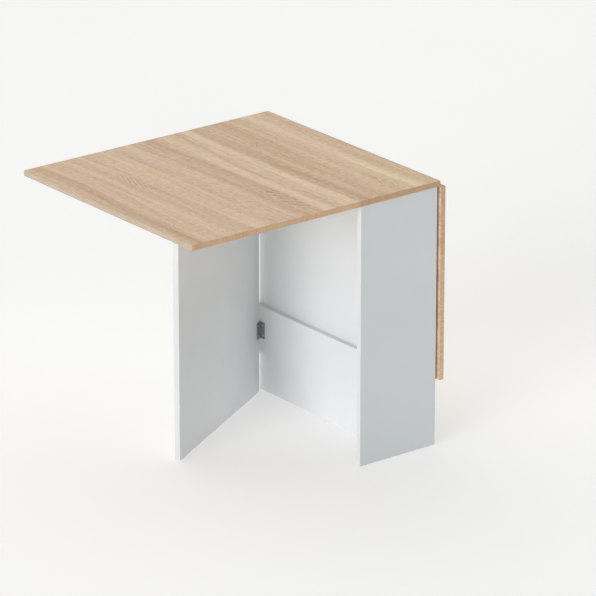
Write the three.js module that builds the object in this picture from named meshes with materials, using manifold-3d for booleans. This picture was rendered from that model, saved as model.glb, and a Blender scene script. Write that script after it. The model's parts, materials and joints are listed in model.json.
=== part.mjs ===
// Gateleg table: a narrow carcass with a fixed top, a leaf hinged to each long edge of the top, and
// a gate hinged to each side of the carcass's spine, which swings out to carry its leaf.
// Millimetres, +Z up. The left leaf is raised on its open gate, and the right leaf hangs down.
// The origin is on the floor, at the centre of that arrangement's outline.
import * as THREE from 'three';
import { mergeVertices } from 'three/addons/utils/BufferGeometryUtils.js';
import Module from 'manifold-3d';

// ---- driving dimensions -------------------------------------------------------------------------
const boardThickness = 16;
const tableHeight = 778;
const tableLength = 770;
const topWidth = 278;
const leafWidth = 567;
const leafSeam = 0.4;
const endPanelInset = 6;
const footGap = 2;
const railHeight = 144;
const lowerRailBottom = 122;
const spineOffset = 16;

const gateLength = 563;
const gateBottom = 4;
const gateTop = 756;
const gateHingeY = 231;
const leftGateAngle = THREE.MathUtils.degToRad(60.4);
const leafGlideGap = 0.2;
const gateGlideX = 530;

const hingeLength = 50;
const hingeWidth = 20;
const hingeAxisOffset = 2.2;
const platePlay = 0.1;
const plateThickness = 1.2;
const barrelRadius = 2.1;
const barrelBore = 1.25;
const knucklePlay = 0.3;
const pinRadius = 1.1;
const pinHeadRadius = 1.8;
const pinHeadHeight = 0.8;
const barrelSides = 10;
const leafHingeY = 333;

const screwInset = 12.5;
const screwSpread = 15;
const screwHeadRadius = 3.1;
const screwHeadHeight = 0.3;
const screwRadius = 1.5;
const screwLength = 11;
const pilotRadius = 1.9;
const pilotDepth = 11.6;
const screwHeadSides = 10;
const screwSides = 6;

const glideRadius = 7.4;
const glideNailRadius = 1.2;
const glideNailLength = 10;
const glideHoleRadius = 1.6;
const endGlideX = 110;

const camRadius = 7.4;
const camDepth = 12;
const camInset = 34;
const camHeights = { lower: 90, upper: 680 };
const camNotch = 8;
const camSlotLength = 6;
const camSlotWidth = 1;
const camSlotDepth = 1;
const boltRadius = 3;
const boltNeckRadius = 2.3;
const boltGrip = 11;
const boltHeadLength = 3;
const boltTaper = 1;
const fittingPlay = 0.35;
const fittingSides = 12;

const dowelRadius = 4;
const dowelLength = 28;
const dowelInTop = 10;
const dowelX = 100;

// ---- places worked out from them ----------------------------------------------------------------
const undersideZ = tableHeight - boardThickness;
const halfTop = topWidth / 2;
const halfLength = tableLength / 2;
const halfBoard = boardThickness / 2;
const endPanelHalfWidth = halfTop - endPanelInset;
const endPanelOuterY = halfLength - endPanelInset;
const endPanelInnerY = endPanelOuterY - boardThickness;
const endPanelMidY = endPanelInnerY + halfBoard;
const spineNearX = spineOffset - halfBoard;
const spineFarX = spineOffset + halfBoard;
const leafAxisX = halfTop + leafSeam / 2;
const leafAxisZ = undersideZ - hingeAxisOffset;
const hangingLeafX = leafAxisX + hingeAxisOffset + boardThickness;
const raisedLeafX = halfTop + leafSeam + leafWidth;
const carcassX = (raisedLeafX - hangingLeafX) / 2;
const lowerRailMidZ = lowerRailBottom + railHeight / 2;
const upperRailMidZ = undersideZ - railHeight / 2;
const gateHingeHeights = { lower: lowerRailMidZ, upper: upperRailMidZ };
const hingePlaces = { front: -leafHingeY, middle: 0, back: leafHingeY };

const quarterTurn = Math.PI / 2;
const vec = (x, y, z) => new THREE.Vector3(x, y, z);

// ---- materials ----------------------------------------------------------------------------------
const finishes = {
  oak: { color: '#cdb294', roughness: 0.5, metalness: 0 },
  white: { color: '#eff0f0', roughness: 0.45, metalness: 0 },
  darkSteel: { color: '#55585b', roughness: 0.4, metalness: 0.9 },
  zinc: { color: '#b6b9bc', roughness: 0.35, metalness: 1 },
  plastic: { color: '#e8e8e6', roughness: 0.55, metalness: 0 },
  beech: { color: '#d8bb92', roughness: 0.7, metalness: 0 },
};
const finish = (name) => new THREE.MeshStandardMaterial(finishes[name]);

// ---- solids and cuts ----------------------------------------------------------------------------
const wasm = await Module();
wasm.setup();

function toSolid(geometry) {
  const bare = geometry.clone();
  bare.deleteAttribute('normal');
  bare.deleteAttribute('uv');
  const merged = mergeVertices(bare);
  const vertProperties = merged.attributes.position.array;
  const triVerts = new Uint32Array(merged.index.array);
  return new wasm.Manifold(new wasm.Mesh({ numProp: 3, vertProperties, triVerts }));
}

function toGeometry(solid) {
  const mesh = solid.getMesh();
  const geometry = new THREE.BufferGeometry();
  geometry.setAttribute('position', new THREE.BufferAttribute(mesh.vertProperties, 3));
  geometry.setIndex(new THREE.BufferAttribute(mesh.triVerts, 1));
  geometry.computeVertexNormals();
  return geometry;
}

function block(low, high) {
  const size = high.clone().sub(low);
  const middle = low.clone().add(high).multiplyScalar(0.5);
  return new THREE.BoxGeometry(size.x, size.y, size.z).translate(middle.x, middle.y, middle.z);
}

function rod(radius, from, to, sides) {
  const along = to.clone().sub(from);
  const middle = from.clone().add(to).multiplyScalar(0.5);
  const geometry = new THREE.CylinderGeometry(radius, radius, along.length(), sides);
  geometry.applyQuaternion(new THREE.Quaternion().setFromUnitVectors(vec(0, 1, 0), along.normalize()));
  return geometry.translate(middle.x, middle.y, middle.z);
}

const joined = (geometries) => geometries.map(toSolid).reduce((sum, next) => sum.add(next));

function named(name, finishName, geometry) {
  const mesh = new THREE.Mesh(geometry, finish(finishName));
  mesh.name = name;
  return mesh;
}

// A board between two corners of its group, with blind holes given as { radius, from, to }.
function board(name, finishName, low, high, holes = []) {
  const middle = low.clone().add(high).multiplyScalar(0.5);
  let geometry = block(low.clone().sub(middle), high.clone().sub(middle));
  if (holes.length > 0) {
    const drills = holes.map((hole) => rod(
      hole.radius,
      hole.from.clone().sub(middle),
      hole.to.clone().sub(middle),
      hole.sides ?? screwSides,
    ));
    geometry = toGeometry(toSolid(geometry).subtract(joined(drills)));
  }
  const mesh = named(name, finishName, geometry);
  mesh.position.copy(middle);
  return mesh;
}

// ---- hinges -------------------------------------------------------------------------------------
// A hinge plate has its pin axis on Z. The plate reaches out along +X, on a board that begins at
// y = hingeAxisOffset, and its screws go into that board. The outer plate has two knuckles and the
// inner plate has the one between them.
const hingeHalf = hingeLength / 2;
const knuckleHalf = hingeLength / 6;
const plateOuterY = hingeAxisOffset - platePlay;
const plateInnerY = plateOuterY - plateThickness;
const screwSpots = [vec(screwInset, 0, -screwSpread), vec(screwInset, 0, screwSpread)];

function knuckleSpans(isOuter) {
  if (isOuter) {
    return [[-hingeHalf, -knuckleHalf - knucklePlay], [knuckleHalf + knucklePlay, hingeHalf]];
  }
  return [[-knuckleHalf, knuckleHalf]];
}

function plateGeometry(isOuter) {
  const spans = knuckleSpans(isOuter);
  const relief = barrelRadius + knucklePlay;
  const solids = [
    block(vec(relief, plateInnerY, -hingeHalf), vec(hingeWidth, plateOuterY, hingeHalf)),
  ];
  for (const [low, high] of spans) {
    solids.push(block(vec(0, plateInnerY, low), vec(relief + 1, plateOuterY, high)));
    solids.push(rod(barrelRadius, vec(0, 0, low), vec(0, 0, high), barrelSides));
  }
  for (const spot of screwSpots) {
    const head = spot.clone().setY(plateInnerY - screwHeadHeight);
    const seat = spot.clone().setY(plateInnerY + plateThickness / 2);
    const tip = spot.clone().setY(hingeAxisOffset + screwLength);
    solids.push(rod(screwHeadRadius, head, seat, screwHeadSides));
    solids.push(rod(screwRadius, seat, tip, screwSides));
  }
  const bore = rod(barrelBore, vec(0, 0, -hingeLength), vec(0, 0, hingeLength), barrelSides);
  return toGeometry(joined(solids).subtract(toSolid(bore)));
}

function pinGeometry() {
  const end = hingeHalf + knucklePlay;
  const outline = [
    [0, -end - pinHeadHeight],
    [pinHeadRadius, -end - pinHeadHeight],
    [pinHeadRadius, -end],
    [pinRadius, -end],
    [pinRadius, end],
    [pinHeadRadius, end],
    [pinHeadRadius, end + pinHeadHeight],
    [0, end + pinHeadHeight],
  ].map(([radius, height]) => new THREE.Vector2(radius, height));
  return new THREE.LatheGeometry(outline, barrelSides).rotateX(quarterTurn);
}

const outerPlate = plateGeometry(true);
const innerPlate = plateGeometry(false);
const hingePin = pinGeometry();

// Where a hinge's own axes lie in its group: a position and a turn about Z, after a turn about X.
function placed(position, turnX, turnZ) {
  const first = new THREE.Matrix4().makeRotationX(turnX);
  return new THREE.Matrix4().makeRotationZ(turnZ).multiply(first).setPosition(position);
}

function pilotHoles(place) {
  return screwSpots.map((spot) => ({
    radius: pilotRadius,
    from: spot.clone().setY(hingeAxisOffset - 1).applyMatrix4(place),
    to: spot.clone().setY(hingeAxisOffset + pilotDepth).applyMatrix4(place),
  }));
}

function hingePiece(name, geometry, place) {
  const mesh = named(name, 'darkSteel', geometry);
  mesh.applyMatrix4(place);
  return mesh;
}

// ---- glides, dowels and cam fittings --------------------------------------------------------------
// A glide is a plastic button on a nail. Its button is on -Z, and the board begins at z = 0.
function glideGeometry(height) {
  const edge = Math.min(1, height / 3);
  const outline = [
    [0, -height],
    [glideRadius - edge, -height],
    [glideRadius, edge - height],
    [glideRadius, 0],
    [glideNailRadius, 0],
    [glideNailRadius, glideNailLength],
    [0, glideNailLength],
  ].map(([radius, level]) => new THREE.Vector2(radius, level));
  return new THREE.LatheGeometry(outline, fittingSides).rotateX(quarterTurn);
}

function glide(name, height, position, isUpward = false) {
  const mesh = named(name, 'plastic', glideGeometry(height));
  mesh.position.copy(position);
  mesh.rotation.x = isUpward ? Math.PI : 0;
  return mesh;
}

function glideHole(position, direction) {
  return {
    radius: glideHoleRadius,
    from: position.clone().setZ(position.z - direction),
    to: position.clone().setZ(position.z + direction * (glideNailLength + fittingPlay)),
  };
}

function dowelPlace(x, side) {
  return vec(x, side * endPanelMidY, undersideZ);
}

function dowelHole(x, side) {
  const place = dowelPlace(x, side);
  return {
    radius: dowelRadius + fittingPlay,
    from: place.clone().setZ(undersideZ - dowelLength + dowelInTop - fittingPlay),
    to: place.clone().setZ(undersideZ + dowelInTop + fittingPlay),
    sides: fittingSides,
  };
}

// A cam sits in the spine's far face, and its bolt runs from it into the end panel.
const camY = endPanelInnerY - camInset;

function camPocket(height, side) {
  return {
    radius: camRadius + fittingPlay,
    from: vec(spineFarX + 1, side * camY, height),
    to: vec(spineFarX - camDepth - fittingPlay, side * camY, height),
    sides: fittingSides,
  };
}

function boltHole(height, side) {
  return {
    radius: boltRadius + fittingPlay,
    from: vec(spineOffset, side * camY, height),
    to: vec(spineOffset, side * (endPanelInnerY + boltGrip + fittingPlay), height),
    sides: fittingSides,
  };
}

function camGeometry() {
  const halfNotch = camNotch / 2;
  const body = rod(camRadius, vec(-camDepth, 0, 0), vec(0, 0, 0), fittingSides);
  const notch = block(
    vec(-halfBoard - halfNotch, -halfNotch, -halfNotch),
    vec(-halfBoard + halfNotch, camRadius + 1, halfNotch),
  );
  const slots = [[camSlotLength, camSlotWidth], [camSlotWidth, camSlotLength]].map(([sizeY, sizeZ]) => (
    block(vec(-camSlotDepth, -sizeY / 2, -sizeZ / 2), vec(camSlotDepth, sizeY / 2, sizeZ / 2))
  ));
  return toGeometry(toSolid(body).subtract(joined([notch, ...slots])));
}

// The bolt's axis is its Y axis, with its thread from y = 0 up and its head at the cam.
function boltGeometry() {
  const reach = camInset - boltTaper;
  const outline = [
    [0, -reach],
    [boltRadius, -reach],
    [boltRadius, boltHeadLength - reach],
    [boltNeckRadius, boltHeadLength + boltTaper - reach],
    [boltNeckRadius, -boltTaper],
    [boltRadius, 0],
    [boltRadius, boltGrip],
    [0, boltGrip],
  ].map(([radius, height]) => new THREE.Vector2(radius, height));
  return new THREE.LatheGeometry(outline, barrelSides);
}

// ---- leaves -------------------------------------------------------------------------------------
// A leaf's group has its origin on the hinge axis, +X towards the leaf's free edge and +Z up when
// the leaf is level. Turning the group about Y drops the leaf.
function leaf(side, turnZ, drop) {
  const group = new THREE.Group();
  const facing = Math.round(Math.cos(turnZ));
  const places = Object.entries(hingePlaces).map(([where, y]) => [
    where,
    placed(vec(0, facing * y, 0), quarterTurn, 0),
  ]);
  group.add(board(
    `leaf_${side}`,
    'oak',
    vec(leafSeam / 2, -halfLength, hingeAxisOffset),
    vec(leafSeam / 2 + leafWidth, halfLength, hingeAxisOffset + boardThickness),
    places.flatMap(([, place]) => pilotHoles(place)),
  ));
  for (const [where, place] of places) {
    group.add(hingePiece(`leaf_hinge_${side}_${where}_moving_plate`, innerPlate, place));
  }
  group.position.set(facing * leafAxisX, 0, leafAxisZ);
  group.rotation.set(0, drop, turnZ, 'ZYX');
  return group;
}

// ---- gates --------------------------------------------------------------------------------------
// A gate's group has its origin under the hinge axis, +X towards the gate's free end and +Y towards
// the board that it folds against.
const gateMidY = -hingeAxisOffset - halfBoard;

function gate(side, hingeX, hingeY, turnZ) {
  const group = new THREE.Group();
  const places = Object.entries(gateHingeHeights).map(([where, z]) => [
    where,
    placed(vec(0, 0, z), Math.PI, 0),
  ]);
  const footPlace = vec(gateGlideX, gateMidY, gateBottom);
  const headPlace = vec(gateGlideX, gateMidY, gateTop);
  group.add(board(
    `gate_${side}`,
    'white',
    vec(0, -hingeAxisOffset - boardThickness, gateBottom),
    vec(gateLength, -hingeAxisOffset, gateTop),
    [
      ...places.flatMap(([, place]) => pilotHoles(place)),
      glideHole(footPlace, 1),
      glideHole(headPlace, -1),
    ],
  ));
  group.add(glide(`gate_${side}_floor_glide`, gateBottom, footPlace));
  group.add(glide(`gate_${side}_leaf_glide`, undersideZ - leafGlideGap - gateTop, headPlace, true));
  for (const [where, place] of places) {
    group.add(hingePiece(`gate_hinge_${side}_${where}_moving_plate`, innerPlate, place));
  }
  group.position.set(hingeX, hingeY, 0);
  group.rotation.z = turnZ;
  return group;
}

// ---- carcass ------------------------------------------------------------------------------------
const sides = { left: -1, right: 1 };
const ends = { front: -1, back: 1 };
const gateHingeX = { left: -halfBoard - hingeAxisOffset, right: spineFarX + hingeAxisOffset };

// The fixed half of a leaf hinge reaches towards the middle of the top.
function fixedLeafHingePlace(side, y) {
  return placed(vec(sides[side] * leafAxisX, y, leafAxisZ), quarterTurn, side === 'left' ? 0 : Math.PI);
}

// The fixed half of a gate hinge reaches along the carcass, the way its gate folds.
function fixedGateHingePlace(side, z) {
  return placed(vec(gateHingeX[side], -sides[side] * gateHingeY, z), 0, sides[side] * quarterTurn);
}

function carcass() {
  const group = new THREE.Group();
  const leafHinges = Object.keys(sides).flatMap((side) => (
    Object.entries(hingePlaces).map(([where, y]) => [
      `leaf_hinge_${side}_${where}`,
      fixedLeafHingePlace(side, y),
    ])
  ));
  const gateHinges = Object.keys(sides).flatMap((side) => (
    Object.entries(gateHingeHeights).map(([where, z]) => [
      `gate_hinge_${side}_${where}`,
      fixedGateHingePlace(side, z),
    ])
  ));
  const gateHolesIn = (prefix) => gateHinges
    .filter(([name]) => name.startsWith(prefix))
    .flatMap(([, place]) => pilotHoles(place));

  group.add(board(
    'top_center',
    'oak',
    vec(-halfTop, -halfLength, undersideZ),
    vec(halfTop, halfLength, tableHeight),
    [
      ...leafHinges.flatMap(([, place]) => pilotHoles(place)),
      ...Object.values(ends).flatMap((end) => (
        Object.values(sides).map((side) => dowelHole(side * dowelX, end))
      )),
    ],
  ));

  for (const [endName, end] of Object.entries(ends)) {
    const [lowY, highY] = [end * endPanelOuterY, end * endPanelInnerY].sort((a, b) => a - b);
    const feet = Object.entries(sides).map(([sideName, side]) => [
      `floor_glide_${endName}_${sideName}`,
      vec(side * endGlideX, end * endPanelMidY, footGap),
    ]);
    group.add(board(
      `end_panel_${endName}`,
      'white',
      vec(-endPanelHalfWidth, lowY, footGap),
      vec(endPanelHalfWidth, highY, undersideZ),
      [
        ...feet.map(([, place]) => glideHole(place, 1)),
        ...Object.values(sides).map((side) => dowelHole(side * dowelX, end)),
        ...Object.values(camHeights).map((height) => boltHole(height, end)),
      ],
    ));
    for (const [name, place] of feet) {
      group.add(glide(name, footGap, place));
    }
    for (const [sideName, side] of Object.entries(sides)) {
      const place = dowelPlace(side * dowelX, end);
      const low = place.clone().setZ(undersideZ + dowelInTop - dowelLength);
      const high = place.clone().setZ(undersideZ + dowelInTop);
      const dowel = rod(dowelRadius, low, high, fittingSides);
      group.add(named(`top_dowel_${endName}_${sideName}`, 'beech', dowel));
    }
    for (const [level, height] of Object.entries(camHeights)) {
      const cam = named(`cam_${endName}_${level}`, 'zinc', camGeometry());
      cam.position.set(spineFarX - fittingPlay, end * camY, height);
      cam.rotation.x = end > 0 ? 0 : Math.PI;
      const bolt = named(`cam_bolt_${endName}_${level}`, 'zinc', boltGeometry());
      bolt.position.set(spineOffset, end * endPanelInnerY, height);
      bolt.rotation.z = end > 0 ? 0 : Math.PI;
      group.add(cam, bolt);
    }
  }

  group.add(board(
    'spine_panel',
    'white',
    vec(spineNearX, -endPanelInnerY, footGap),
    vec(spineFarX, endPanelInnerY, undersideZ),
    [
      ...gateHolesIn('gate_hinge_right'),
      ...Object.values(ends).flatMap((end) => Object.values(camHeights).flatMap((height) => [
        camPocket(height, end),
        boltHole(height, end),
      ])),
    ],
  ));
  for (const [level, middle] of Object.entries(gateHingeHeights)) {
    group.add(board(
      `rail_${level}`,
      'white',
      vec(-halfBoard, -endPanelInnerY, middle - railHeight / 2),
      vec(halfBoard, endPanelInnerY, middle + railHeight / 2),
      gateHolesIn(`gate_hinge_left_${level}`),
    ));
  }

  for (const [name, place] of [...leafHinges, ...gateHinges]) {
    group.add(hingePiece(`${name}_fixed_plate`, outerPlate, place));
    group.add(hingePiece(`${name}_pin`, hingePin, place));
  }
  return group;
}

// ---- the table ----------------------------------------------------------------------------------
const table = new THREE.Group();
table.add(carcass());
table.add(leaf('left', Math.PI, 0));
table.add(leaf('right', 0, quarterTurn));
table.add(gate('left', gateHingeX.left, gateHingeY, -quarterTurn - leftGateAngle));
table.add(gate('right', gateHingeX.right, -gateHingeY, quarterTurn));
table.position.x = carcassX;

export default table;
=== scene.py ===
"""Looks of the gateleg table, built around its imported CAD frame. Metres, in the frame's own axes."""
import json
import math

import bmesh
import bpy
from mathutils import Matrix, Vector


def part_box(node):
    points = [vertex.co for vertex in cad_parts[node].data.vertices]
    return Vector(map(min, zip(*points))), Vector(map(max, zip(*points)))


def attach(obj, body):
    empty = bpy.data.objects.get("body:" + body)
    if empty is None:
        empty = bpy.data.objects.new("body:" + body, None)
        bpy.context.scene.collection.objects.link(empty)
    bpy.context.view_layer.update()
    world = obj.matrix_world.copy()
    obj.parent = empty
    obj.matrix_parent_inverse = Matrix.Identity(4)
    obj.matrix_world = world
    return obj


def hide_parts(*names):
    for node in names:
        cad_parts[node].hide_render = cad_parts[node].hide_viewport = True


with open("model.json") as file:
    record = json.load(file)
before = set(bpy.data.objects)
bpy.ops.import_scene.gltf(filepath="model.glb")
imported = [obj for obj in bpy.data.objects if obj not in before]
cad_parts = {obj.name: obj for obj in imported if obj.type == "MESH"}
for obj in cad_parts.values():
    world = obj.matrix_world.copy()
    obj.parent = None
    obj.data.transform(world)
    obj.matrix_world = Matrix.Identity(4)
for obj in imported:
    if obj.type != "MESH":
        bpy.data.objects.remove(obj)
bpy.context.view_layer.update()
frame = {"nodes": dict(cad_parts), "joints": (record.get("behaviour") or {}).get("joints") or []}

MM = 0.001
JOINTS = {joint["child"]: joint for joint in frame["joints"]}
# How far each body stands from the place its board is drawn in: leaves level, gates folded.
TURNED = {"right_leaf": -90.0, "left_gate": -JOINTS["left_gate"]["range_deg"][0]}
BODY_OF = {
    "top_center": "carcass",
    "leaf_left": "left_leaf",
    "leaf_right": "right_leaf",
    "end_panel_front": "carcass",
    "end_panel_back": "carcass",
    "spine_panel": "carcass",
    "rail_upper": "carcass",
    "rail_lower": "carcass",
    "gate_left": "left_gate",
    "gate_right": "right_gate",
}
OAK_BOARDS = ("top_center", "leaf_left", "leaf_right")


# ---- places -------------------------------------------------------------------------------------
def home(body):
    """The turn from a body's drawing place, with leaves level and gates folded, to its rest place."""
    if body not in TURNED:
        return Matrix.Identity(4)
    joint = JOINTS[body]
    pivot = Matrix.Translation(joint["pos_m"])
    turn = Matrix.Rotation(math.radians(TURNED[body]), 4, Vector(joint["axis"]))
    return pivot @ turn @ pivot.inverted()


def drawn_box(node, body):
    """A CAD node's lowest and highest corners in its body's drawing place."""
    back = home(body).inverted()
    points = [back @ vertex.co for vertex in frame["nodes"][node].data.vertices]
    low = Vector([min(point[axis] for point in points) for axis in range(3)])
    high = Vector([max(point[axis] for point in points) for axis in range(3)])
    return low, high


# ---- node graphs --------------------------------------------------------------------------------
class Graph:
    """The node tree of one material or of the world, with short calls for the nodes it uses."""

    def __init__(self, owner):
        owner.use_nodes = True
        self.tree = owner.node_tree
        self.tree.nodes.clear()

    def node(self, kind, inputs=None, **settings):
        made = self.tree.nodes.new(kind)
        for key, value in settings.items():
            setattr(made, key, value)
        for key, value in (inputs or {}).items():
            if isinstance(value, bpy.types.NodeSocket):
                self.tree.links.new(value, made.inputs[key])
            else:
                made.inputs[key].default_value = value
        return made

    def math(self, operation, first, second=0.0):
        return self.node("ShaderNodeMath", {0: first, 1: second}, operation=operation).outputs[0]

    def weighted(self, value, weight, base):
        """base + weight x value."""
        made = self.node("ShaderNodeMath", {0: value, 1: weight, 2: base}, operation="MULTIPLY_ADD")
        return made.outputs[0]

    def centred(self, noise):
        """A noise with its middle value moved to 0."""
        return self.math("SUBTRACT", noise, 0.5)

    def layered(self, tone, layers):
        """Adds centred noises to a tone. layers is a list of (noise, weight)."""
        for noise, weight in layers:
            tone = self.weighted(self.centred(noise), weight, tone)
        return tone

    def blended(self, first, first_share, second, second_share):
        first_part = self.math("MULTIPLY", first, first_share)
        return self.math("ADD", first_part, self.math("MULTIPLY", second, second_share))

    def scaled(self, vector, factors):
        made = self.node("ShaderNodeVectorMath", {0: vector, 1: factors}, operation="MULTIPLY")
        return made.outputs[0]

    def moved(self, vector, offset):
        made = self.node("ShaderNodeVectorMath", {0: vector, 1: offset}, operation="ADD")
        return made.outputs[0]

    def combined(self, x, y, z):
        return self.node("ShaderNodeCombineXYZ", {0: x, 1: y, 2: z}).outputs[0]

    def noise(self, place, scales, detail=2.0, roughness=0.5):
        """Noise with so many features a metre along X, Y and Z, or the same number along all three."""
        scales = scales if isinstance(scales, tuple) else (scales, scales, scales)
        inputs = {"Scale": 1.0, "Detail": detail, "Roughness": roughness}
        inputs["Vector"] = self.scaled(place, scales)
        return self.node("ShaderNodeTexNoise", inputs).outputs[0]

    def remap(self, value, low, high, to_low=0.0, to_high=1.0, smooth=True):
        """Takes low to to_low and high to to_high, and holds the value between those."""
        kind = "SMOOTHSTEP" if smooth else "LINEAR"
        inputs = {0: value, 1: low, 2: high, 3: to_low, 4: to_high}
        return self.node("ShaderNodeMapRange", inputs, interpolation_type=kind).outputs[0]

    def mix(self, factor, first, second):
        """A colour between two others."""
        made = self.node("ShaderNodeMix", data_type="RGBA")
        for index, value in ((0, factor), (6, first), (7, second)):
            if isinstance(value, bpy.types.NodeSocket):
                self.tree.links.new(value, made.inputs[index])
            else:
                made.inputs[index].default_value = value
        return made.outputs[2]

    def surface(self, **inputs):
        """The shader, with its constants on its own sockets, and the material's output."""
        named = {key.replace("_", " "): value for key, value in inputs.items()}
        shader = self.node("ShaderNodeBsdfPrincipled", named)
        output = self.node("ShaderNodeOutputMaterial")
        self.tree.links.new(shader.outputs[0], output.inputs[0])

    def bump(self, height, strength, distance):
        inputs = {"Height": height, "Strength": strength, "Distance": distance}
        return self.node("ShaderNodeBump", inputs).outputs[0]


def material_graph(name):
    """A new material, its node graph and the Object coordinates, which are metres in the drawn place."""
    material = bpy.data.materials.new(name)
    graph = Graph(material)
    return material, graph, graph.node("ShaderNodeTexCoord").outputs["Object"]


def rgb(red, green, blue):
    """A linear colour from 0 to 255 display values."""
    def linear(value):
        share = value / 255
        return share / 12.92 if share <= 0.04045 else ((share + 0.055) / 1.055) ** 2.4
    return (linear(red), linear(green), linear(blue), 1.0)


# ---- materials ----------------------------------------------------------------------------------
# Oak decor, drawn in metres with both leaves level and the grain along Y.
# Each stave: where it begins along X, its tone from dark to light, and how yellow it is.
STAVES = (
    (-0.440, 0.46, 0.35),
    (-0.1525, 0.50, 0.30),
    (0.0125, 0.52, 0.60),
    (0.1385, 0.22, 0.25),
    (0.1725, 0.54, 0.55),
    (0.3855, 0.48, 0.15),
    (0.5200, 0.62, 0.50),
    (0.6550, 0.36, 0.35),
    (0.8300, 0.55, 0.60),
)
# Soft lanes of lighter or darker wood: middle along X, half width, change of tone.
LANES = (
    (-0.405, 0.045, -0.22),
    (-0.300, 0.040, 0.14),
    (-0.190, 0.050, 0.34),
    (-0.140, 0.014, -0.16),
    (-0.090, 0.050, 0.12),
    (-0.015, 0.030, -0.20),
    (0.034, 0.028, 0.36),
    (0.118, 0.022, 0.18),
    (0.215, 0.050, -0.16),
    (0.345, 0.040, 0.32),
    (0.470, 0.040, 0.22),
    (0.600, 0.030, -0.24),
    (0.730, 0.040, 0.26),
    (0.905, 0.040, -0.20),
)
# Patches of leaning rays beside a knot:
# middle X and Y, half width, half length, lean (rise along Y for each step in X), spacing, strength.
RAYS = (
    (-0.250, 0.125, 0.017, 0.115, 2.6, 0.030, 1.0),
    (-0.008, -0.230, 0.032, 0.135, -1.3, 0.032, 1.0),
    (0.200, 0.170, 0.030, 0.034, 1.4, 0.012, 0.8),
    (0.284, -0.285, 0.016, 0.095, 2.6, 0.024, 1.0),
    (-0.390, -0.220, 0.026, 0.070, 1.8, 0.022, 0.4),
    (-0.130, -0.345, 0.028, 0.045, -1.6, 0.020, 0.5),
    (-0.052, 0.330, 0.014, 0.060, -2.2, 0.026, 0.5),
    (0.610, 0.140, 0.020, 0.080, 2.0, 0.028, 0.55),
    (0.800, -0.190, 0.018, 0.100, -1.9, 0.026, 0.5),
    (0.900, 0.240, 0.014, 0.070, 2.4, 0.024, 0.5),
)
# How far each stave's figure is moved on from the last one's, and how far lanes and rays wander.
STAVE_SHIFT = 1.73
LANE_SWAY = 0.055
RAY_CURL = 0.085
# A ray's profile, in shares of the spacing: it darkens quickly, fades, and ends in a lighter line.
RAY_RISE = (0.0, 0.28)
RAY_FALL = (0.85, 0.2)
RAY_GLINT = (0.6, 0.95)


def ray_patches(graph, x, y, own_place):
    """How much each point belongs to a dark ray and to the light line beside it."""
    curl = graph.noise(own_place, (24.0, 11.0, 24.0), 3.0, 0.6)
    broken = graph.noise(own_place, (60.0, 34.0, 60.0), 2.0, 0.6)
    curled_y = graph.weighted(graph.centred(curl), RAY_CURL, y)
    ray, glint = 0.0, 0.0
    for middle_x, middle_y, half_width, half_length, lean, spacing, strength in RAYS:
        from_middle = graph.math("SUBTRACT", x, middle_x)
        across = graph.math("DIVIDE", from_middle, half_width)
        along = graph.math("DIVIDE", graph.math("SUBTRACT", y, middle_y), half_length)
        off = graph.math("ADD", graph.math("POWER", across, 2.0), graph.math("POWER", along, 2.0))
        patch = graph.remap(off, 1.2, 0.1, 0.0, strength)
        phase = graph.math("DIVIDE", graph.weighted(from_middle, -lean, curled_y), spacing)
        tooth = graph.math("FRACT", phase)
        fading = graph.math("MULTIPLY", patch, graph.remap(tooth, *RAY_FALL))
        ray = graph.weighted(graph.remap(tooth, *RAY_RISE), fading, ray)
        glint = graph.weighted(graph.remap(tooth, *RAY_GLINT), patch, glint)
    whole = graph.remap(broken, 0.34, 0.52)
    return graph.math("MULTIPLY", ray, whole), graph.math("MULTIPLY", glint, whole)


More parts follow.
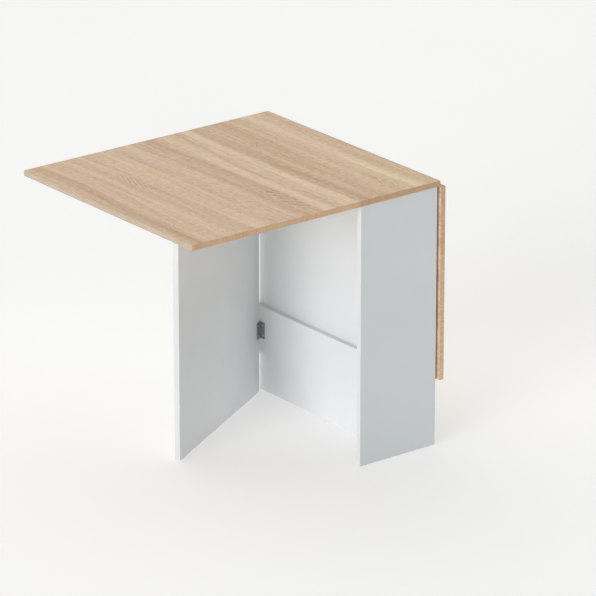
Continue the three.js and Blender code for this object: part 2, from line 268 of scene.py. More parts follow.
def oak_material(name, pink, yellow, ray_colour):
    """Light oak decor: glued staves, soft lanes, fine streaks, pores and patches of leaning rays."""
    material, graph, place = material_graph(name)
    x, y, z = graph.node("ShaderNodeSeparateXYZ", {0: place}).outputs

    tone, yellowness, shift = STAVES[0][1], STAVES[0][2], 0.0
    for before, after in zip(STAVES, STAVES[1:]):
        past = graph.math("GREATER_THAN", x, after[0])
        tone = graph.weighted(past, after[1] - before[1], tone)
        yellowness = graph.weighted(past, after[2] - before[2], yellowness)
        shift = graph.weighted(past, STAVE_SHIFT, shift)
    own_place = graph.moved(place, graph.combined(shift, shift, 0.0))

    sway = graph.noise(own_place, (4.0, 1.7, 4.0))
    swayed_x = graph.weighted(graph.centred(sway), LANE_SWAY, x)
    swayed = graph.combined(swayed_x, y, z)
    swayed = graph.moved(swayed, graph.combined(shift, shift, 0.0))

    for middle, half_width, change in LANES:
        off = graph.math("ABSOLUTE", graph.math("SUBTRACT", swayed_x, middle))
        tone = graph.math("ADD", tone, graph.remap(off, half_width, 0.0, 0.0, change))

    leaning = graph.combined(graph.weighted(y, 0.32, x), y, shift)
    fibre = graph.noise(own_place, (700.0, 30.0, 700.0), 3.0, 0.6)
    tone = graph.layered(tone, (
        (graph.noise(swayed, (30.0, 1.2, 30.0)), 1.15),
        (graph.noise(swayed, (120.0, 3.2, 120.0), 4.0, 0.62), 0.85),
        (fibre, 0.55),
        (graph.noise(own_place, (26.0, 430.0, 26.0), 3.0, 0.6), 0.45),
        (graph.noise(leaning, (190.0, 58.0, 1.0), 4.0, 0.68), 1.7),
    ))
    yellowness = graph.layered(yellowness, ((graph.noise(swayed, (14.0, 1.6, 14.0)), 2.2),))
    reach = graph.remap(tone, 0.0, 1.0, smooth=False)
    colour = graph.mix(
        graph.remap(yellowness, 0.0, 1.0, smooth=False),
        graph.mix(reach, pink[0], pink[1]),
        graph.mix(reach, yellow[0], yellow[1]),
    )

    ray, glint = ray_patches(graph, x, y, own_place)
    colour = graph.mix(graph.math("MULTIPLY", ray, 0.55), colour, ray_colour)
    colour = graph.mix(graph.math("MULTIPLY", glint, 0.35), colour, yellow[1])

    pore = graph.remap(graph.noise(own_place, (1100.0, 60.0, 1100.0), 1.0), 0.36, 0.28)
    colour = graph.mix(graph.math("MULTIPLY", pore, 0.30), colour, ray_colour)
    height = graph.math("SUBTRACT", graph.math("MULTIPLY", fibre, 0.6), pore)
    graph.surface(
        Base_Color=colour,
        Roughness=graph.remap(graph.math("ADD", fibre, pore), 0.3, 1.4, 0.46, 0.64),
        Specular_IOR_Level=0.35,
        Normal=graph.bump(height, 0.35, 0.00012),
    )
    return material


def edge_band_material(name, stripe_scales, tones):
    """Oak edge band. tones is a list of (X from which it holds, darker colour, lighter colour)."""
    material, graph, place = material_graph(name)
    x = graph.node("ShaderNodeSeparateXYZ", {0: place}).outputs[0]
    stripe = graph.noise(place, stripe_scales, 3.0, 0.62)
    tone = graph.layered(0.5, ((graph.noise(place, 16.0), 0.6), (stripe, 1.5)))
    reach = graph.remap(tone, 0.0, 1.0, smooth=False)
    colour = graph.mix(reach, tones[0][1], tones[0][2])
    for start, dark, light in tones[1:]:
        colour = graph.mix(graph.math("GREATER_THAN", x, start), colour, graph.mix(reach, dark, light))
    graph.surface(
        Base_Color=colour,
        Roughness=graph.remap(stripe, 0.3, 0.7, 0.44, 0.56),
        Specular_IOR_Level=0.35,
        Normal=graph.bump(stripe, 0.25, 0.0001),
    )
    return material


def pearl_material(name, light, shade):
    """White melamine: a fine pearl emboss with a barely seen change of tone."""
    material, graph, place = material_graph(name)
    cloud = graph.noise(place, 4.0, 3.0, 0.5)
    grain = graph.noise(place, 900.0, 3.0, 0.6)
    pearl = graph.noise(place, 320.0)
    tone = graph.blended(cloud, 0.6, grain, 0.4)
    height = graph.weighted(grain, 0.4, pearl)
    graph.surface(
        Base_Color=graph.mix(graph.remap(tone, 0.35, 0.65), shade, light),
        Roughness=graph.remap(pearl, 0.3, 0.7, 0.36, 0.46),
        Specular_IOR_Level=0.38,
        Normal=graph.bump(height, 0.18, 0.0001),
    )
    return material


def metal_material(name, light, dark, roughness, streak_scales, metallic):
    """Plated steel or zinc: rolled streaks, cloudy plating and a few fine scratches."""
    material, graph, place = material_graph(name)
    cloud = graph.noise(place, 160.0, 3.0, 0.6)
    streak = graph.noise(place, streak_scales, 3.0, 0.6)
    tone = graph.blended(cloud, 0.55, streak, 0.45)
    graph.surface(
        Base_Color=graph.mix(graph.remap(tone, 0.35, 0.65), dark, light),
        Metallic=metallic,
        Roughness=graph.remap(streak, 0.3, 0.7, roughness - 0.06, roughness + 0.1),
        Normal=graph.bump(streak, 0.2, 0.00005),
    )
    return material


def nylon_material(name, light, dark):
    """Moulded white nylon, slightly milky, with a spark-eroded surface."""
    material, graph, place = material_graph(name)
    grain = graph.noise(place, 1500.0, 2.0, 0.6)
    cloud = graph.noise(place, 120.0)
    graph.surface(
        Base_Color=graph.mix(graph.remap(cloud, 0.3, 0.7), dark, light),
        Roughness=graph.remap(grain, 0.3, 0.7, 0.42, 0.56),
        Normal=graph.bump(grain, 0.2, 0.00005),
    )
    return material


def beech_material(name, light, dark):
    """Raw beech with short rays along the dowel."""
    material, graph, place = material_graph(name)
    fibre = graph.noise(place, (900.0, 900.0, 60.0), 3.0, 0.6)
    graph.surface(
        Base_Color=graph.mix(graph.remap(fibre, 0.3, 0.7), dark, light),
        Roughness=graph.remap(fibre, 0.3, 0.7, 0.6, 0.75),
        Normal=graph.bump(fibre, 0.4, 0.0001),
    )
    return material


OAK = oak_material(
    "oak_decor",
    pink=(rgb(209, 170, 140), rgb(250, 220, 195)),
    yellow=(rgb(212, 175, 133), rgb(254, 231, 197)),
    ray_colour=rgb(172, 134, 102),
)
LEAF_AXIS_LEFT = JOINTS["left_leaf"]["pos_m"][0]
LEAF_AXIS_RIGHT = JOINTS["right_leaf"]["pos_m"][0]
OAK_END_BAND = edge_band_material("oak_end_band", (380.0, 380.0, 34.0), (
    (-1.0, rgb(204, 163, 125), rgb(236, 199, 161)),
    (LEAF_AXIS_LEFT, rgb(190, 150, 113), rgb(226, 188, 151)),
    # On the hanging right leaf, the band is painted darker for 0.2 m below the hinge, as shade under the
    # top, and lighter further down.
    (LEAF_AXIS_RIGHT, rgb(195, 155, 119), rgb(235, 199, 163)),
    (LEAF_AXIS_RIGHT + 0.2, rgb(208, 171, 134), rgb(248, 216, 180)),
))
OAK_LONG_BAND = edge_band_material("oak_long_band", (60.0, 7.0, 420.0), (
    (-1.0, rgb(184, 163, 140), rgb(216, 197, 176)),
))
WHITE = pearl_material("white_melamine", rgb(239, 242, 243), rgb(235, 238, 239))
# The end panels' white is the same melamine as the other boards, made a shade darker: painted shade on the
# end panels' faces.
WHITE_END_PAINTED_SHADE = pearl_material("white_end_panel_painted_shade", rgb(229, 234, 236), rgb(225, 230, 232))
WHITE_BAND = pearl_material("white_band", rgb(234, 236, 237), rgb(229, 231, 232))
STEEL = metal_material(
    "burnished_steel",
    rgb(176, 179, 183),
    rgb(148, 151, 155),
    roughness=0.42,
    streak_scales=(60.0, 2400.0, 60.0),
    metallic=0.35,
)
ZINC = metal_material(
    "cast_zinc",
    rgb(224, 227, 230),
    rgb(200, 203, 206),
    roughness=0.36,
    streak_scales=300.0,
    metallic=0.5,
)
NYLON = nylon_material("white_nylon", rgb(236, 236, 233), rgb(226, 226, 222))
BEECH = beech_material("raw_beech", rgb(222, 190, 148), rgb(200, 164, 120))


# ---- meshes -------------------------------------------------------------------------------------
def new_object(name, mesh):
    piece = bpy.data.objects.new(name, mesh)
    bpy.context.scene.collection.objects.link(piece)
    return piece


def mesh_of(name, build, materials):
    """A mesh made by build(bm), with its materials."""
    bm = bmesh.new()
    build(bm)
    bmesh.ops.recalc_face_normals(bm, faces=bm.faces)
    mesh = bpy.data.meshes.new(name)
    bm.to_mesh(mesh)
    bm.free()
    for material in materials:
        mesh.materials.append(material)
    return mesh


def applied(piece):
    """Replaces a piece's mesh with what its modifiers make."""
    bpy.context.view_layer.update()
    shown = piece.evaluated_get(bpy.context.evaluated_depsgraph_get())
    mesh = bpy.data.meshes.new_from_object(shown)
    piece.modifiers.clear()
    piece.data = mesh
    return piece


def soften(piece, width, segments=3, angle=30.0):
    """Rounds a piece's sharp edges and shades the rounding smoothly."""
    piece.data.shade_smooth()
    bevel = piece.modifiers.new("rounded_edges", "BEVEL")
    bevel.width = width
    bevel.segments = segments
    bevel.limit_method = "ANGLE"
    bevel.angle_limit = math.radians(angle)
    bevel.harden_normals = True
    return applied(piece)


def lathe(bm, outline, sides, place=None):
    """Turns (radius, height) points, which start and end on the axis, about the place's Z axis."""
    turns = [2 * math.pi * step / sides for step in range(sides)]
    rings = []
    for radius, height in outline:
        if radius == 0:
            corners = [(0, 0, height)]
        else:
            corners = [(radius * math.cos(turn), radius * math.sin(turn), height) for turn in turns]
        rings.append([bm.verts.new(corner) for corner in corners])
    for lower, upper in zip(rings, rings[1:]):
        for step in range(sides):
            low_pair = [lower[step % len(lower)], lower[(step + 1) % len(lower)]]
            high_pair = [upper[(step + 1) % len(upper)], upper[step % len(upper)]]
            bm.faces.new(list(dict.fromkeys(low_pair + high_pair)))
    if place is not None:
        bmesh.ops.transform(bm, matrix=place, verts=[vert for ring in rings for vert in ring])


def cut(piece, name, build, operation="DIFFERENCE"):
    """Cuts a piece with the shape that build(bm) makes in the piece's own place."""
    cutter = new_object(name, mesh_of(name, build, piece.data.materials[:1]))
    cutter.matrix_world = piece.matrix_world
    boolean = piece.modifiers.new(name, "BOOLEAN")
    boolean.object = cutter
    boolean.operation = operation
    applied(piece)
    bpy.data.objects.remove(cutter)


def finished_mesh(piece):
    """A made piece's mesh, for use in other objects. The piece itself goes."""
    mesh = piece.data
    bpy.data.objects.remove(piece)
    return mesh


def add_prism(bm, outline, low, high, axis="Z"):
    """Extrudes a flat (x, y) outline from low to high along Z, or an (x, z) outline along Y."""
    def corner(point, level):
        return (point[0], point[1], level) if axis == "Z" else (point[0], level, point[1])

    rings = [[bm.verts.new(corner(point, level)) for point in outline] for level in (low, high)]
    bm.faces.new(rings[0])
    bm.faces.new(rings[1])
    for step in range(len(outline)):
        after = (step + 1) % len(outline)
        bm.faces.new((rings[0][step], rings[0][after], rings[1][after], rings[1][step]))


def arc(radius, start, end, steps, centre=(0.0, 0.0)):
    """Points on an arc in degrees, both ends included."""
    turns = [math.radians(start + (end - start) * step / steps) for step in range(steps + 1)]
    return [(centre[0] + radius * math.cos(turn), centre[1] + radius * math.sin(turn)) for turn in turns]


def cross(length, width):
    """The outline of a cross slot."""
    arm, half = length / 2, width / 2
    quarter = [(arm, half), (half, half), (half, arm)]
    outline = []
    for _ in range(4):
        outline += quarter
        quarter = [(-y, x) for x, y in quarter]
    return outline


def add_mesh(bm, mesh, matrix, material_index):
    """Adds a moved copy of a mesh to bm."""
    held = len(bm.faces)
    copy = mesh.copy()
    copy.transform(matrix)
    bm.from_mesh(copy)
    bm.faces.ensure_lookup_table()
    for face in bm.faces[held:]:
        face.material_index = material_index
    bpy.data.meshes.remove(copy)


def stand_in(node, mesh, matrix, body):
    """Shows a finer mesh in the place of a CAD node."""
    piece = new_object(f"{node}_detail", mesh)
    piece.matrix_world = matrix
    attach(piece, body)
    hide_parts(node)
    return piece


def add_box(bm, low, high):
    stretch = Matrix.Diagonal((*(high - low), 1.0))
    bmesh.ops.create_cube(bm, size=1.0, matrix=Matrix.Translation((low + high) / 2) @ stretch)


def in_metres(outline):
    return [(radius * MM, height * MM) for radius, height in outline]


def turned(angle, axis):
    return Matrix.Rotation(math.radians(angle), 4, axis)


# ---- boards -------------------------------------------------------------------------------------
EDGE_RADIUS = 0.5 * MM
BAND_THICKNESS = 1.0 * MM
BOARD_MATERIALS = {
    "oak_board": (OAK, OAK_LONG_BAND, OAK_END_BAND),
    "white_board": (WHITE, WHITE_BAND, WHITE_BAND),
}
# The end panels take the darker copy of the white, which paints shade onto their faces.
END_PANEL_PAINTED_SHADE_MATERIALS = (WHITE_END_PAINTED_SHADE, WHITE_BAND, WHITE_BAND)
CAM_POCKET_RADIUS = 7.75 * MM
CAM_POCKET_PLAY = 0.5 * MM
CAM_NODES = [f"cam_{end}_{level}" for end in ("front", "back") for level in ("lower", "upper")]


def add_slab(bm, low, high):
    """A board: its two broad faces, and its edge band, which wraps round as a thin rim.

    Broad faces take the first material, the band takes the second, or the third across the grain.
    """
    def looks_along(face, axis):
        return abs(face.normal[axis]) > 0.9

    add_box(bm, low, high)
    size = high - low
    thin = min(range(3), key=lambda axis: size[axis])
    broad = [face for face in bm.faces if looks_along(face, thin)]
    bmesh.ops.inset_individual(bm, faces=broad, thickness=BAND_THICKNESS)
    for face in bm.faces:
        face.material_index = 1
        if face in broad:
            face.material_index = 0
        elif looks_along(face, 1) and thin != 1:
            face.material_index = 2
        elif looks_along(face, thin):
            middle = face.calc_center_median() - (low + high) / 2
            if abs(middle.y) / size.y > abs(middle.x) / size.x:
                face.material_index = 2


def add_board(node, slot):
    body = BODY_OF[node]
    low, high = drawn_box(node, body)
    materials = END_PANEL_PAINTED_SHADE_MATERIALS if node.startswith("end_panel") else BOARD_MATERIALS[slot]
    mesh = mesh_of(f"{node}_board", lambda bm: add_slab(bm, low, high), materials)
    piece = new_object(f"{node}_board", mesh)
    if node == "spine_panel":
        cut_cam_pockets(piece)
    soften(piece, EDGE_RADIUS)
    piece.matrix_world = home(body)
    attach(piece, body)
    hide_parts(node)
    return piece


def cut_cam_pockets(piece):
    """Cuts the round pockets of the four cams into the spine."""
    for name in CAM_NODES:
        low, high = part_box(name)
        place = Matrix.Translation((low + high) / 2) @ turned(90, "Y")
        half = (high.x - low.x) / 2 + CAM_POCKET_PLAY
        outline = [(0, -half), (CAM_POCKET_RADIUS, -half), (CAM_POCKET_RADIUS, half), (0, half)]
        cut(piece, "cam_pocket", lambda bm: lathe(bm, outline, sides=48, place=place))


BOARDS = {}
for board_node in BODY_OF:
    slot = "oak_board" if board_node in OAK_BOARDS else "white_board"
    BOARDS[board_node] = add_board(board_node, slot)

# The holes that each board gets: the place one starts from along +Z, its radius and its depth.
HOLES = {board_node: [] for board_node in BODY_OF}
HOLE_LEAD = 0.4 * MM


def drill(board, holes):
    """Cuts holes into a board, each begun a little outside it."""
    def bits(bm):
        for place, radius, depth in holes:
            outline = [(0, -HOLE_LEAD), (radius, -HOLE_LEAD), (radius, depth), (0, depth)]
            lathe(bm, outline, sides=20, place=place)

    cut(board, "drill", bits)


# ---- screws, hinges and pins --------------------------------------------------------------------
# A hinge is drawn with its pin along Z and its plate along X, with the board on the +Y side.
# Turned outlines are (radius, height) from one end of the axis to the other, here in millimetres.
HINGE_HALF_LENGTH = 25 * MM
HINGE_WIDTH = 20 * MM
PLATE_FRONT = 0.9 * MM
PLATE_BACK = 2.1 * MM
HINGE_AXIS_OFFSET = 2.2 * MM
PILOT_RADIUS = 1.9 * MM
PILOT_DEPTH = 11.6 * MM
BARREL_BORE = 1.25 * MM
CURL_END = 338
NOTCH_DEPTH = 2.6 * MM
NOTCH_REACH = 3 * MM
TRIM_REACH = 4 * MM
KNUCKLE_HALF = 8.33 * MM
KNUCKLE_GAP = 0.3 * MM
PLATE_CORNER = 3 * MM
SCREW_PLACES = [(12.5 * MM, PLATE_FRONT, side * 15 * MM) for side in (-1, 1)]
SCREW_HEAD = [(0, 0.30), (1.2, 0.28), (2.2, 0.18), (2.9, 0.02), (3.1, -0.12), (1.6, -1.5), (1.5, -2.2)]
THREAD_CREST = 1.5
THREAD_ROOT = 1.05
THREAD_START = 2.6
THREAD_PITCH = 1.3
THREAD_TURNS = 6
SCREW_TIP = [(THREAD_ROOT, -9.9), (0, -11)]
RECESS_LENGTH = 3.6 * MM
RECESS_WIDTH = 0.7 * MM
RECESS_DEPTH = 1.0 * MM
RECESS_LEAD = 0.6 * MM
SINK_OUTLINE = [(0, -1.0), (3.3, -1.0), (3.3, 0.05), (1.9, 1.1), (1.9, 2.0), (0, 2.0)]
PIN_END = [(0, -26.1), (1.2, -26.0), (1.7, -25.75), (1.8, -25.45), (1.1, -25.3)]


def screw_mesh():
    """A raised countersunk screw with a cross recess, head up, its rim at the origin."""
    outline = list(SCREW_HEAD)
    depth = THREAD_START
    for _ in range(THREAD_TURNS):
        outline += [(THREAD_ROOT, -depth), (THREAD_CREST, -depth - THREAD_PITCH / 2)]
        depth += THREAD_PITCH
    outline = in_metres(outline + SCREW_TIP)
    piece = new_object("screw", mesh_of("screw", lambda bm: lathe(bm, outline, sides=24), [ZINC]))

    recess = cross(RECESS_LENGTH, RECESS_WIDTH)
    cut(piece, "cross_recess", lambda bm: add_prism(bm, recess, -RECESS_DEPTH, RECESS_LEAD))
    return finished_mesh(soften(piece, 0.05 * MM, segments=2, angle=35))


def hinge_plate_mesh(name, screw, notches):
    """A pressed plate that curls round the pin, cut back where the other plate's knuckles turn."""
    curl = arc(PLATE_BACK, 90, CURL_END, steps=26)
    bore_start = math.degrees(math.asin(PLATE_FRONT / BARREL_BORE))
    inside = arc(BARREL_BORE, CURL_END, bore_start, steps=24)
    section = [(HINGE_WIDTH, PLATE_BACK)] + curl + inside + [(HINGE_WIDTH, PLATE_FRONT)]
    half = HINGE_HALF_LENGTH
    piece = new_object(name, mesh_of(name, lambda bm: add_prism(bm, section, -half, half), [STEEL]))

    def notch(bm):
        for low, high in notches:
            add_box(bm, Vector((-NOTCH_REACH, -NOTCH_REACH, low)), Vector((NOTCH_DEPTH, NOTCH_REACH, high)))

    cut(piece, "knuckle_notch", notch)
    corner = (HINGE_WIDTH - PLATE_CORNER, half - PLATE_CORNER)
    rounded = arc(PLATE_CORNER, 90, 0, steps=8, centre=corner)
    rounded += arc(PLATE_CORNER, 0, -90, steps=8, centre=(corner[0], -corner[1]))
    outline = [(-TRIM_REACH, -half), (-TRIM_REACH, half)] + rounded

    def trim(bm):
        add_prism(bm, outline, -TRIM_REACH, TRIM_REACH, "Y")

    def holes(bm):
        for place in SCREW_PLACES:
            lathe(bm, in_metres(SINK_OUTLINE), sides=32, place=Matrix.Translation(place) @ turned(-90, "X"))

    cut(piece, "rounded_corners", trim, "INTERSECT")
    cut(piece, "screw_holes", holes)
    mesh = finished_mesh(soften(piece, 0.15 * MM, segments=2, angle=40))
    bm = bmesh.new()
    bm.from_mesh(mesh)
    for place in SCREW_PLACES:
        add_mesh(bm, screw, Matrix.Translation(place) @ turned(90, "X"), material_index=1)
    bm.to_mesh(mesh)
    bm.free()
    mesh.materials.append(ZINC)
    return mesh


def pin_mesh():
    """A hinge pin with a peened head at each end."""
    other_end = [(radius, -height) for radius, height in reversed(PIN_END)]
    outline = in_metres(PIN_END + other_end)
    piece = new_object("pin", mesh_of("pin", lambda bm: lathe(bm, outline, sides=32), [STEEL]))
    return finished_mesh(soften(piece, 0.05 * MM, segments=2, angle=50))


SCREW = screw_mesh()
OUTER_PLATE = hinge_plate_mesh("outer_plate", SCREW, [
    (-KNUCKLE_HALF - KNUCKLE_GAP, KNUCKLE_HALF + KNUCKLE_GAP),
])
INNER_PLATE = hinge_plate_mesh("inner_plate", SCREW, [
    (-HINGE_HALF_LENGTH - MM, -KNUCKLE_HALF),
    (KNUCKLE_HALF, HINGE_HALF_LENGTH + MM),
])
PIN = pin_mesh()


def add_hinge(hinge, moving_body, boards, fixed_turn, moving_turn):
    """Shows a hinge's two plates and its pin, and notes the screw holes in its two boards.

    boards is the fixed and the moving one. The turns are the plates' own, before home().
    """
    pivot = Vector(JOINTS[moving_body]["pos_m"])
    low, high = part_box(f"{hinge}_pin")
    if hinge.startswith("leaf"):
        place = Matrix.Translation((pivot.x, (low.y + high.y) / 2, pivot.z))
    else:
        place = Matrix.Translation((pivot.x, pivot.y, (low.z + high.z) / 2))
    fixed = place @ fixed_turn
    stand_in(f"{hinge}_fixed_plate", OUTER_PLATE, fixed, "carcass")
    stand_in(f"{hinge}_pin", PIN, fixed, "carcass")
    moving = home(moving_body) @ place @ moving_turn
    stand_in(f"{hinge}_moving_plate", INNER_PLATE, moving, moving_body)
    for node, turn in zip(boards, (fixed_turn, moving_turn)):
        for x, _, z in SCREW_PLACES:
            start = Matrix.Translation((x, HINGE_AXIS_OFFSET, z)) @ turned(-90, "X")
            HOLES[node].append((place @ turn @ start, PILOT_RADIUS, PILOT_DEPTH))


for side, towards_middle in (("left", 0), ("right", 180)):
    flat = turned(90, "X")
    for where in ("front", "middle", "back"):
        add_hinge(
            f"leaf_hinge_{side}_{where}",
            f"{side}_leaf",
            ("top_center", f"leaf_{side}"),
            turned(towards_middle, "Z") @ flat,
            turned(towards_middle + 180, "Z") @ flat,
        )
for side, along_board in (("left", -90), ("right", 90)):
    for where in ("lower", "upper"):
        upright = turned(along_board, "Z")
        fixed_board = f"rail_{where}" if side == "left" else "spine_panel"
        add_hinge(
            f"gate_hinge_{side}_{where}",
            f"{side}_gate",
            (fixed_board, f"gate_{side}"),
            upright,
            upright @ turned(180, "X"),
        )


# ---- glides, cams, bolts, dowels and cover caps -------------------------------------------------
GLIDE_RADIUS = 7.4 * MM
GLIDE_DOME_HEIGHT = 1.2 * MM
GLIDE_DOME = [(0, 0), (0.55, 0), (0.8, 0.18), (0.94, 0.5), (1, 1)]
NAIL_LENGTH = 10 * MM
NAIL_POINT = 2 * MM
NAIL_RADIUS = 1.2 * MM
NAIL_HOLE_RADIUS = 1.6 * MM
FITTING_PLAY = 0.35 * MM
CAM_RADIUS = 7.4 * MM
# The cam's groove, rim and sunk face: share of its radius, and height in millimetres.
CAM_FACE = [(1, -2.6), (0.9, -2.2), (0.9, -1.2), (1, -0.9), (1, -0.3), (0.93, 0), (0.78, 0), (0.74, -0.35)]
CAM_FACE += [(0, -0.35)]
CAM_SLOT_LENGTH = 7.6 * MM
CAM_SLOT_WIDTH = 1.3 * MM
CAM_SLOT_DEPTH = 2.4 * MM
CAM_MARK = [(0, 7.0), (-0.9, 5.6), (0.9, 5.6)]
CAM_MARK_DEPTH = 0.8 * MM
CAM_CUT_LEAD = 1 * MM
CAP_RADIUS = 6.5 * MM
CAP_HEIGHT = 1.1 * MM
CAP_DOME = [(1, 0), (1, 0.3), (0.96, 0.62), (0.8, 0.88), (0.5, 1), (0, 1)]
CAP_STEM_RADIUS = 3.2 * MM
CAP_STEM_PLAY = 0.1 * MM
CAP_STEM_LENGTH = 3 * MM


def add_glide(node, body, board_node, contact_up=False):
    """A nailed nylon glide: a domed foot, a rim, and the nail that goes into the board."""
    low, high = drawn_box(node, body)
    foot = high.z - low.z - NAIL_LENGTH
    dome = min(foot * 0.6, GLIDE_DOME_HEIGHT)
    outline = [(radius * GLIDE_RADIUS, height * dome) for radius, height in GLIDE_DOME]
    outline += [(GLIDE_RADIUS, foot), (NAIL_RADIUS, foot)]
    outline += [(NAIL_RADIUS, foot + NAIL_LENGTH - NAIL_POINT), (0, foot + NAIL_LENGTH)]
    mesh = mesh_of(f"{node}_mesh", lambda bm: lathe(bm, outline, sides=40), [NYLON])
    middle = (low + high) / 2
    place = Matrix.Translation((middle.x, middle.y, high.z if contact_up else low.z))
    if contact_up:
        place = place @ turned(180, "X")
    piece = new_object(f"{node}_turned", mesh)
    mesh = finished_mesh(soften(piece, 0.1 * MM, segments=2, angle=40))
    stand_in(node, mesh, home(body) @ place, body)
    start = place @ Matrix.Translation((0, 0, foot))
    HOLES[board_node].append((start, NAIL_HOLE_RADIUS, NAIL_LENGTH + FITTING_PLAY))


for end in ("front", "back"):
    for side in ("left", "right"):
        add_glide(f"floor_glide_{end}_{side}", "carcass", f"end_panel_{end}")
for side in ("left", "right"):
    add_glide(f"gate_{side}_floor_glide", f"{side}_gate", f"gate_{side}")
    add_glide(f"gate_{side}_leaf_glide", f"{side}_gate", f"gate_{side}", contact_up=True)


def cam_mesh(depth):
    """A cast cam, its face at the origin looking along +Z: a rim, a cross slot and a mark."""
    radius = CAM_RADIUS
    outline = [(0, -depth), (radius * 0.94, -depth), (radius, -depth + 0.4 * MM)]
    outline += [(radius * share, height * MM) for share, height in CAM_FACE]
    piece = new_object("cam", mesh_of("cam", lambda bm: lathe(bm, outline, sides=48), [ZINC]))

    def slots(bm):
        add_prism(bm, cross(CAM_SLOT_LENGTH, CAM_SLOT_WIDTH), -CAM_SLOT_DEPTH, CAM_CUT_LEAD)
        add_prism(bm, in_metres(CAM_MARK), -CAM_MARK_DEPTH, CAM_CUT_LEAD)

    cut(piece, "cam_slots", slots)
    return finished_mesh(soften(piece, 0.12 * MM, segments=2, angle=35))


for node in CAM_NODES:
    low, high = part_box(node)
    middle = (low + high) / 2
    face = Matrix.Translation((high.x, middle.y, middle.z)) @ turned(90, "Y")
    stand_in(node, cam_mesh(high.x - low.x), face, "carcass")


def add_rod(node, outline, finish):
    """Shows a turned rod for a CAD node, along the node's longest side.

    The outline is in shares of the rod's radius and of its length.
    """
    low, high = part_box(node)
    size = high - low
    axis = max(range(3), key=lambda index: size[index])
    radius = min(size) / 2
    points = [(share * radius, (height - 0.5) * size[axis]) for share, height in outline]
    mesh = mesh_of(f"{node}_mesh", lambda bm: lathe(bm, points, sides=28), [finish])
    place = Matrix.Translation((low + high) / 2)
    if axis == 1:
        outward = -90 if (low.y + high.y) > 0 else 90
        place = place @ turned(outward, "X")
    piece = new_object(f"{node}_turned", mesh)
    mesh = finished_mesh(soften(piece, 0.1 * MM, segments=2, angle=40))
    stand_in(node, mesh, place, "carcass")


BOLT_OUTLINE = [(0, 0), (0.55, 0.01), (0.62, 0.04), (0.62, 0.10), (0.38, 0.13), (0.38, 0.30), (0.6, 0.33)]
BOLT_OUTLINE += [(0.6, 0.60), (1.0, 0.62), (1.0, 0.67)]
for ridge in range(6):
    BOLT_OUTLINE += [(0.62, 0.69 + ridge * 0.05), (0.9, 0.715 + ridge * 0.05)]
BOLT_OUTLINE += [(0.5, 0.985), (0, 1)]
DOWEL_OUTLINE = [(0, 0), (0.8, 0), (1, 0.06)]
for groove in range(8):
    DOWEL_OUTLINE += [(1, 0.10 + groove * 0.1), (0.93, 0.12 + groove * 0.1), (1, 0.14 + groove * 0.1)]
DOWEL_OUTLINE += [(1, 0.94), (0.8, 1), (0, 1)]


def note_rod_holes(node, joint, inner_board, outer_board, outward):
    """Notes the two holes that a rod runs in, on either side of the joint between its boards."""
    low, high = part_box(node)
    axis = max(range(3), key=lambda index: (high - low)[index])
    start = (low + high) / 2
    start[axis] = joint
    inward_length = abs((low if outward > 0 else high)[axis] - joint)
    outward_length = abs((high if outward > 0 else low)[axis] - joint)
    along = Vector((0, 0, 0))
    along[axis] = outward
    radius = min(high - low) / 2 + FITTING_PLAY
    for board_node, direction, length in (
        (outer_board, along, outward_length),
        (inner_board, -along, inward_length),
    ):
        aim = direction.to_track_quat("Z", "Y").to_matrix().to_4x4()
        HOLES[board_node].append((Matrix.Translation(start) @ aim, radius, length + FITTING_PLAY))


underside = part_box("top_center")[0].z
for end, outward in (("front", -1), ("back", 1)):
    end_panel = f"end_panel_{end}"
    panel_low, panel_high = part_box(end_panel)
    inner_face = panel_low.y if outward > 0 else panel_high.y
    for level in ("lower", "upper"):
        add_rod(f"cam_bolt_{end}_{level}", BOLT_OUTLINE, ZINC)
        note_rod_holes(f"cam_bolt_{end}_{level}", inner_face, "spine_panel", end_panel, outward)
    for side in ("left", "right"):
        add_rod(f"top_dowel_{end}_{side}", DOWEL_OUTLINE, BEECH)
        note_rod_holes(f"top_dowel_{end}_{side}", underside, end_panel, "top_center", 1)


def cap_mesh():
    """A pressed-in cover cap over a rail screw, flat below and softly domed above."""
    outline = [(0, -CAP_STEM_LENGTH), (CAP_STEM_RADIUS, -CAP_STEM_LENGTH), (CAP_STEM_RADIUS, 0)]
    outline += [(radius * CAP_RADIUS, height * CAP_HEIGHT) for radius, height in CAP_DOME]
    piece = new_object("cap", mesh_of("cap", lambda bm: lathe(bm, outline, sides=40), [NYLON]))
    return finished_mesh(soften(piece, 0.08 * MM, segments=2, angle=40))


CAP = cap_mesh()
spine_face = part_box("spine_panel")[1].x
for level in ("lower", "upper"):
    low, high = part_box(f"rail_{level}")
    for where, share in (("front", 0.09), ("middle", 0.5), ("back", 0.91)):
        piece = new_object(f"rail_screw_cap_{level}_{where}", CAP)
        y = low.y + (high.y - low.y) * share
        piece.matrix_world = Matrix.Translation((spine_face, y, (low.z + high.z) / 2)) @ turned(90, "Y")
        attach(piece, "carcass")
        stem = piece.matrix_world @ turned(180, "X")
        hole = (stem, CAP_STEM_RADIUS + CAP_STEM_PLAY, CAP_STEM_LENGTH + FITTING_PLAY)
        HOLES["spine_panel"].append(hole)

for board_node, holes in HOLES.items():
    if holes:
        drill(BOARDS[board_node], holes)


# ---- camera, floor and light --------------------------------------------------------------------
# The camera stands at the photo's angle, far off, with a long lens and no shift.
CAMERA_PLACE = (-7.705, -10.156, 5.174)
CAMERA_YAW = 37.97
CAMERA_PITCH = 20.46
CAMERA_LENS = 297.7
CAMERA_REACH = 200
FLOOR_HALF_WIDTH = 60
FLOOR_GLOW = 0.35
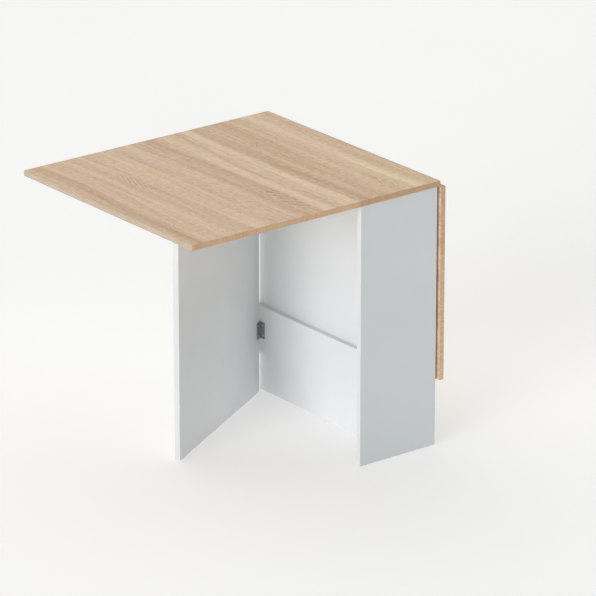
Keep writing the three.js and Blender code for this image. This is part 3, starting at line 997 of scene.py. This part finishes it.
# Soft lights of the studio: where each comes from, how wide it is in degrees, and its colour.
STUDIO = (
    ((0, 0, 1), 60, (0.98, 0.98, 0.90)),
    ((-1, -0.21, 0.07), 25, (3.5, 3.45, 3.5)),
    ((-1, -0.35, 0.25), 22, (4.0, 4.2, 4.5)),
    ((0, 1, 0.3), 60, (1.06, 1.04, 1.05)),
    ((1, 0, 0.3), 60, (0.30, 0.31, 0.32)),
)
# A pale band along the horizon, so that low views don't look past the floor into the dark.
HORIZON = (0.91, 0.91, 0.90)
HORIZON_TOP = math.radians(4)


def add_camera():
    camera = new_object("camera", bpy.data.cameras.new("camera"))
    camera.location = CAMERA_PLACE
    camera.rotation_euler = (math.radians(90 - CAMERA_PITCH), 0, math.radians(-CAMERA_YAW))
    camera.data.lens = CAMERA_LENS
    camera.data.sensor_width = 36
    camera.data.clip_end = CAMERA_REACH
    bpy.context.scene.camera = camera


def add_floor():
    """A plain pale floor, which glows a little so that it looks nearly as white as the photo's."""
    def sheet(bm):
        bmesh.ops.create_grid(bm, x_segments=1, y_segments=1, size=FLOOR_HALF_WIDTH)

    material, graph, place = material_graph("floor")
    cloud = graph.noise(place, 1.5, 3.0, 0.5)
    graph.surface(
        Base_Color=graph.mix(cloud, (0.77, 0.77, 0.77, 1), (0.79, 0.79, 0.79, 1)),
        Roughness=0.9,
        Specular_IOR_Level=0.1,
        Emission_Color=(1, 1, 1, 1),
        Emission_Strength=FLOOR_GLOW,
    )
    floor = new_object("floor", mesh_of("floor", sheet, [material]))


def light_studio():
    """Lights the scene from a sky of soft round patches, and shows no dark sky at the horizon."""
    world = bpy.data.worlds.new("studio")
    bpy.context.scene.world = world
    sky = Graph(world)
    direction = sky.node("ShaderNodeTexCoord").outputs["Generated"]
    light = (0.0, 0.0, 0.0)
    for source, width, colour in STUDIO:
        inputs = {0: direction, 1: tuple(Vector(source).normalized())}
        facing = sky.node("ShaderNodeVectorMath", inputs, operation="DOT_PRODUCT").outputs[1]
        share = sky.remap(facing, math.cos(math.radians(width)), 1.0)
        inputs = {0: colour, "Scale": share}
        patch = sky.node("ShaderNodeVectorMath", inputs, operation="SCALE").outputs[0]
        light = sky.moved(light, patch)
    height = sky.math("ABSOLUTE", sky.node("ShaderNodeSeparateXYZ", {0: direction}).outputs[2])
    low_share = sky.remap(height, math.sin(HORIZON_TOP), math.sin(HORIZON_TOP / 2))
    inputs = {0: HORIZON, "Scale": low_share}
    band = sky.node("ShaderNodeVectorMath", inputs, operation="SCALE").outputs[0]
    light = sky.node("ShaderNodeVectorMath", {0: light, 1: band}, operation="MAXIMUM").outputs[0]
    backdrop = sky.node("ShaderNodeBackground", {"Color": light})
    sky.tree.links.new(backdrop.outputs[0], sky.node("ShaderNodeOutputWorld").inputs[0])
    bpy.context.scene.view_settings.view_transform = "Standard"


add_camera()
add_floor()
light_studio()
